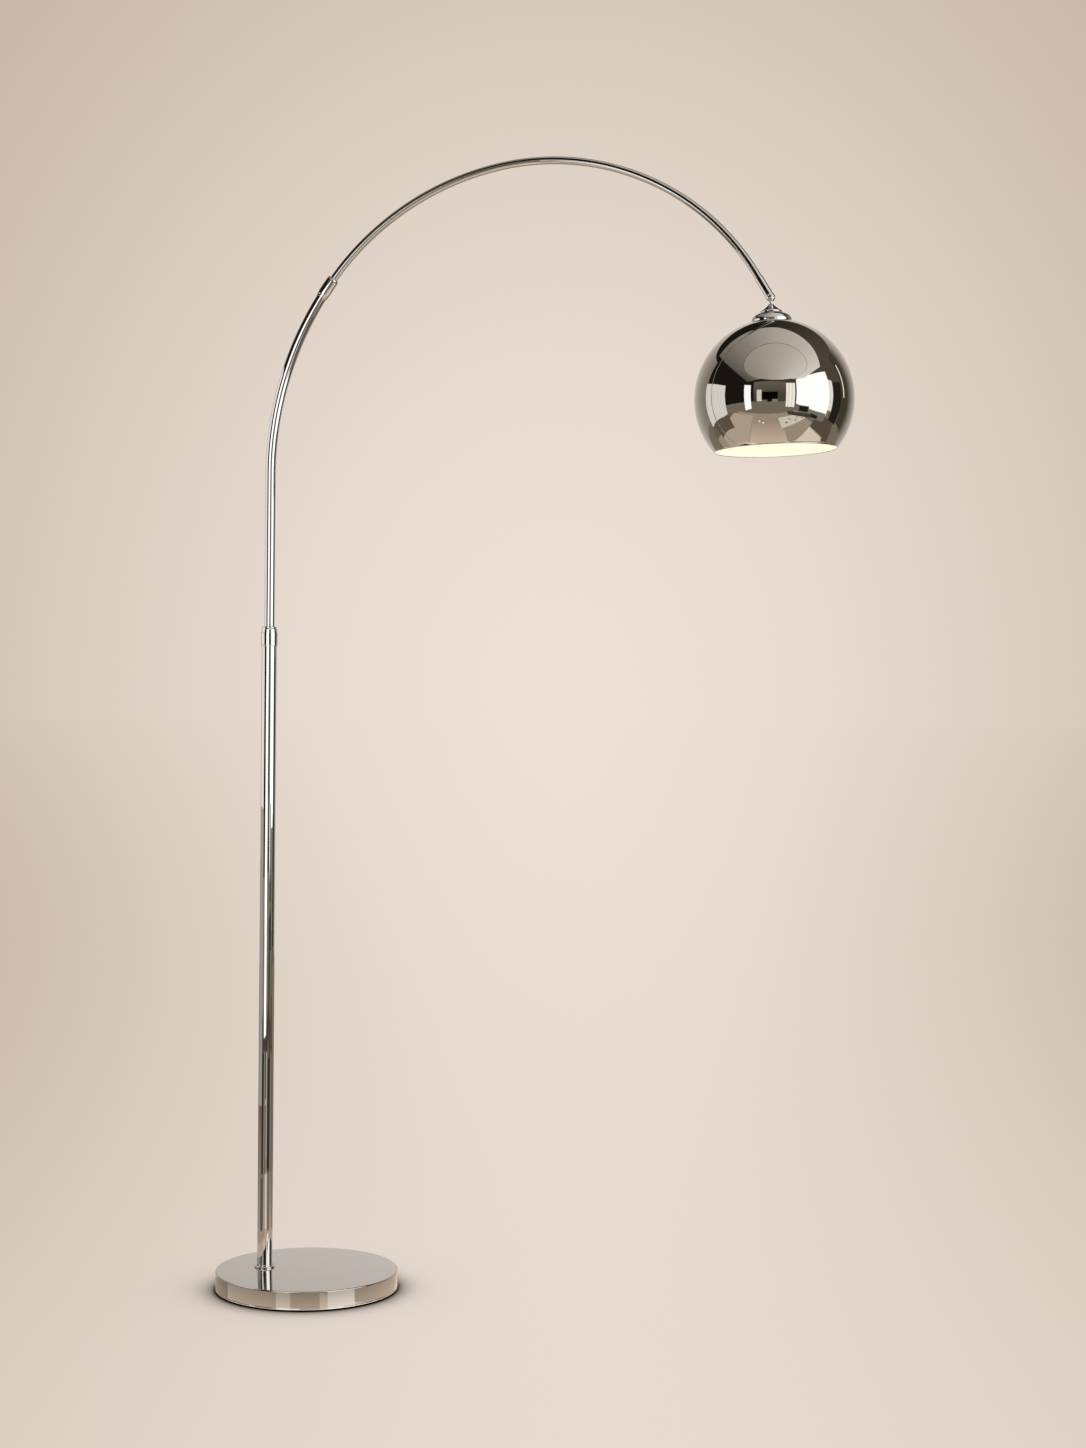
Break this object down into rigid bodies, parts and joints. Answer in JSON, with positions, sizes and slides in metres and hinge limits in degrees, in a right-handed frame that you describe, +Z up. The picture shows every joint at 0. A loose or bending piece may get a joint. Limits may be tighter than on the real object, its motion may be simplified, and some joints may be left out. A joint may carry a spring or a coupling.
{
  "type": "arc floor lamp",
  "caption": "Chrome arc floor lamp: round weighted base, straight pole, swivelling and sliding curved arm, globe shade on a ball joint.",
  "frame": {"origin": "centre of the base's underside, on the floor", "axes": "+Z up along the pole; +X from the pole towards the shade, in the arm's plane; +Y to the left of the arm as seen from the pole"},
  "size_m": [1.0374, 0.3012, 1.8587],
  "materials": {
    "chrome": "mirror chrome plate on steel",
    "shade_metal": "spun aluminium, mirror plated outside, warm white inside",
    "cast_iron": "black-painted cast iron",
    "rubber": "black rubber",
    "zinc_steel": "zinc-plated steel",
    "nylon": "natural nylon",
    "block_plastic": "cream moulded plastic",
    "lead_sheath": "clear-grey flexible sheath",
    "brass": "bright brass",
    "holder_plastic": "black moulded thermoset",
    "bulb_black": "black glass insulator",
    "ceramic": "white glazed ceramic",
    "bulb_metal": "nickel-bright aluminium",
    "bulb_plastic": "white moulded plastic",
    "opal_glass": "opal diffusing glass, lit"
  },
  "bodies": {
    "stand": {"floor_pad": "rubber", "base_plate": "zinc_steel", "base_plate_screws": "zinc_steel", "base_weight": "cast_iron", "base_cover": "chrome", "cord_grommet": "rubber", "terminal_block": "block_plastic", "foot_stud": "zinc_steel", "foot_nut": "zinc_steel", "foot_washer": "zinc_steel", "foot_insert": "zinc_steel", "foot_collar": "chrome", "pole": "chrome", "swivel_bush_lower": "nylon", "swivel_bush_upper": "nylon", "lower_ferrule": "chrome", "lead_pole": "lead_sheath"},
    "lower_arm": {"thrust_collar": "zinc_steel", "lower_arm_tube": "chrome", "upper_ferrule": "chrome", "slide_bush": "nylon", "lead_lower_arm": "lead_sheath"},
    "upper_arm": {"tail_glide": "nylon", "upper_arm_tube": "chrome", "end_sleeve": "chrome", "disc_spring": "zinc_steel", "ball_seat": "nylon", "lead_upper_arm": "lead_sheath"},
    "shade_head": {"swivel_ball": "chrome", "bell_cap": "chrome", "bell_screw": "zinc_steel", "shade_saucer": "chrome", "saucer_spacer": "zinc_steel", "nipple": "brass", "shade": "shade_metal", "shade_washer": "zinc_steel", "lock_nut": "brass", "holder_cap": "holder_plastic", "holder_insert": "ceramic", "holder_contact": "brass", "holder_shell": "holder_plastic", "bulb_contact": "brass", "bulb_insulator": "bulb_black", "bulb_screw_cap": "bulb_metal", "bulb_collar": "bulb_plastic", "bulb_globe": "opal_glass", "lead_shade": "lead_sheath"}
  },
  "joints": [
    {"name": "arm_swivel", "type": "hinge", "parent": "stand", "child": "lower_arm", "pos_m": [-0.0725, 0, 1.086], "axis": [0, 0, 1], "range_deg": [-170, 170]},
    {"name": "arm_extension", "type": "hinge", "parent": "lower_arm", "child": "upper_arm", "pos_m": [0.4655, 0, 1.349], "axis": [0, 1, 0], "range_deg": [0, 16]},
    {"name": "shade_tilt", "type": "hinge", "parent": "upper_arm", "child": "shade_head", "pos_m": [0.75216, 0, 1.6228], "axis": [0, -1, 0], "range_deg": [-10, 70]}
  ]
}
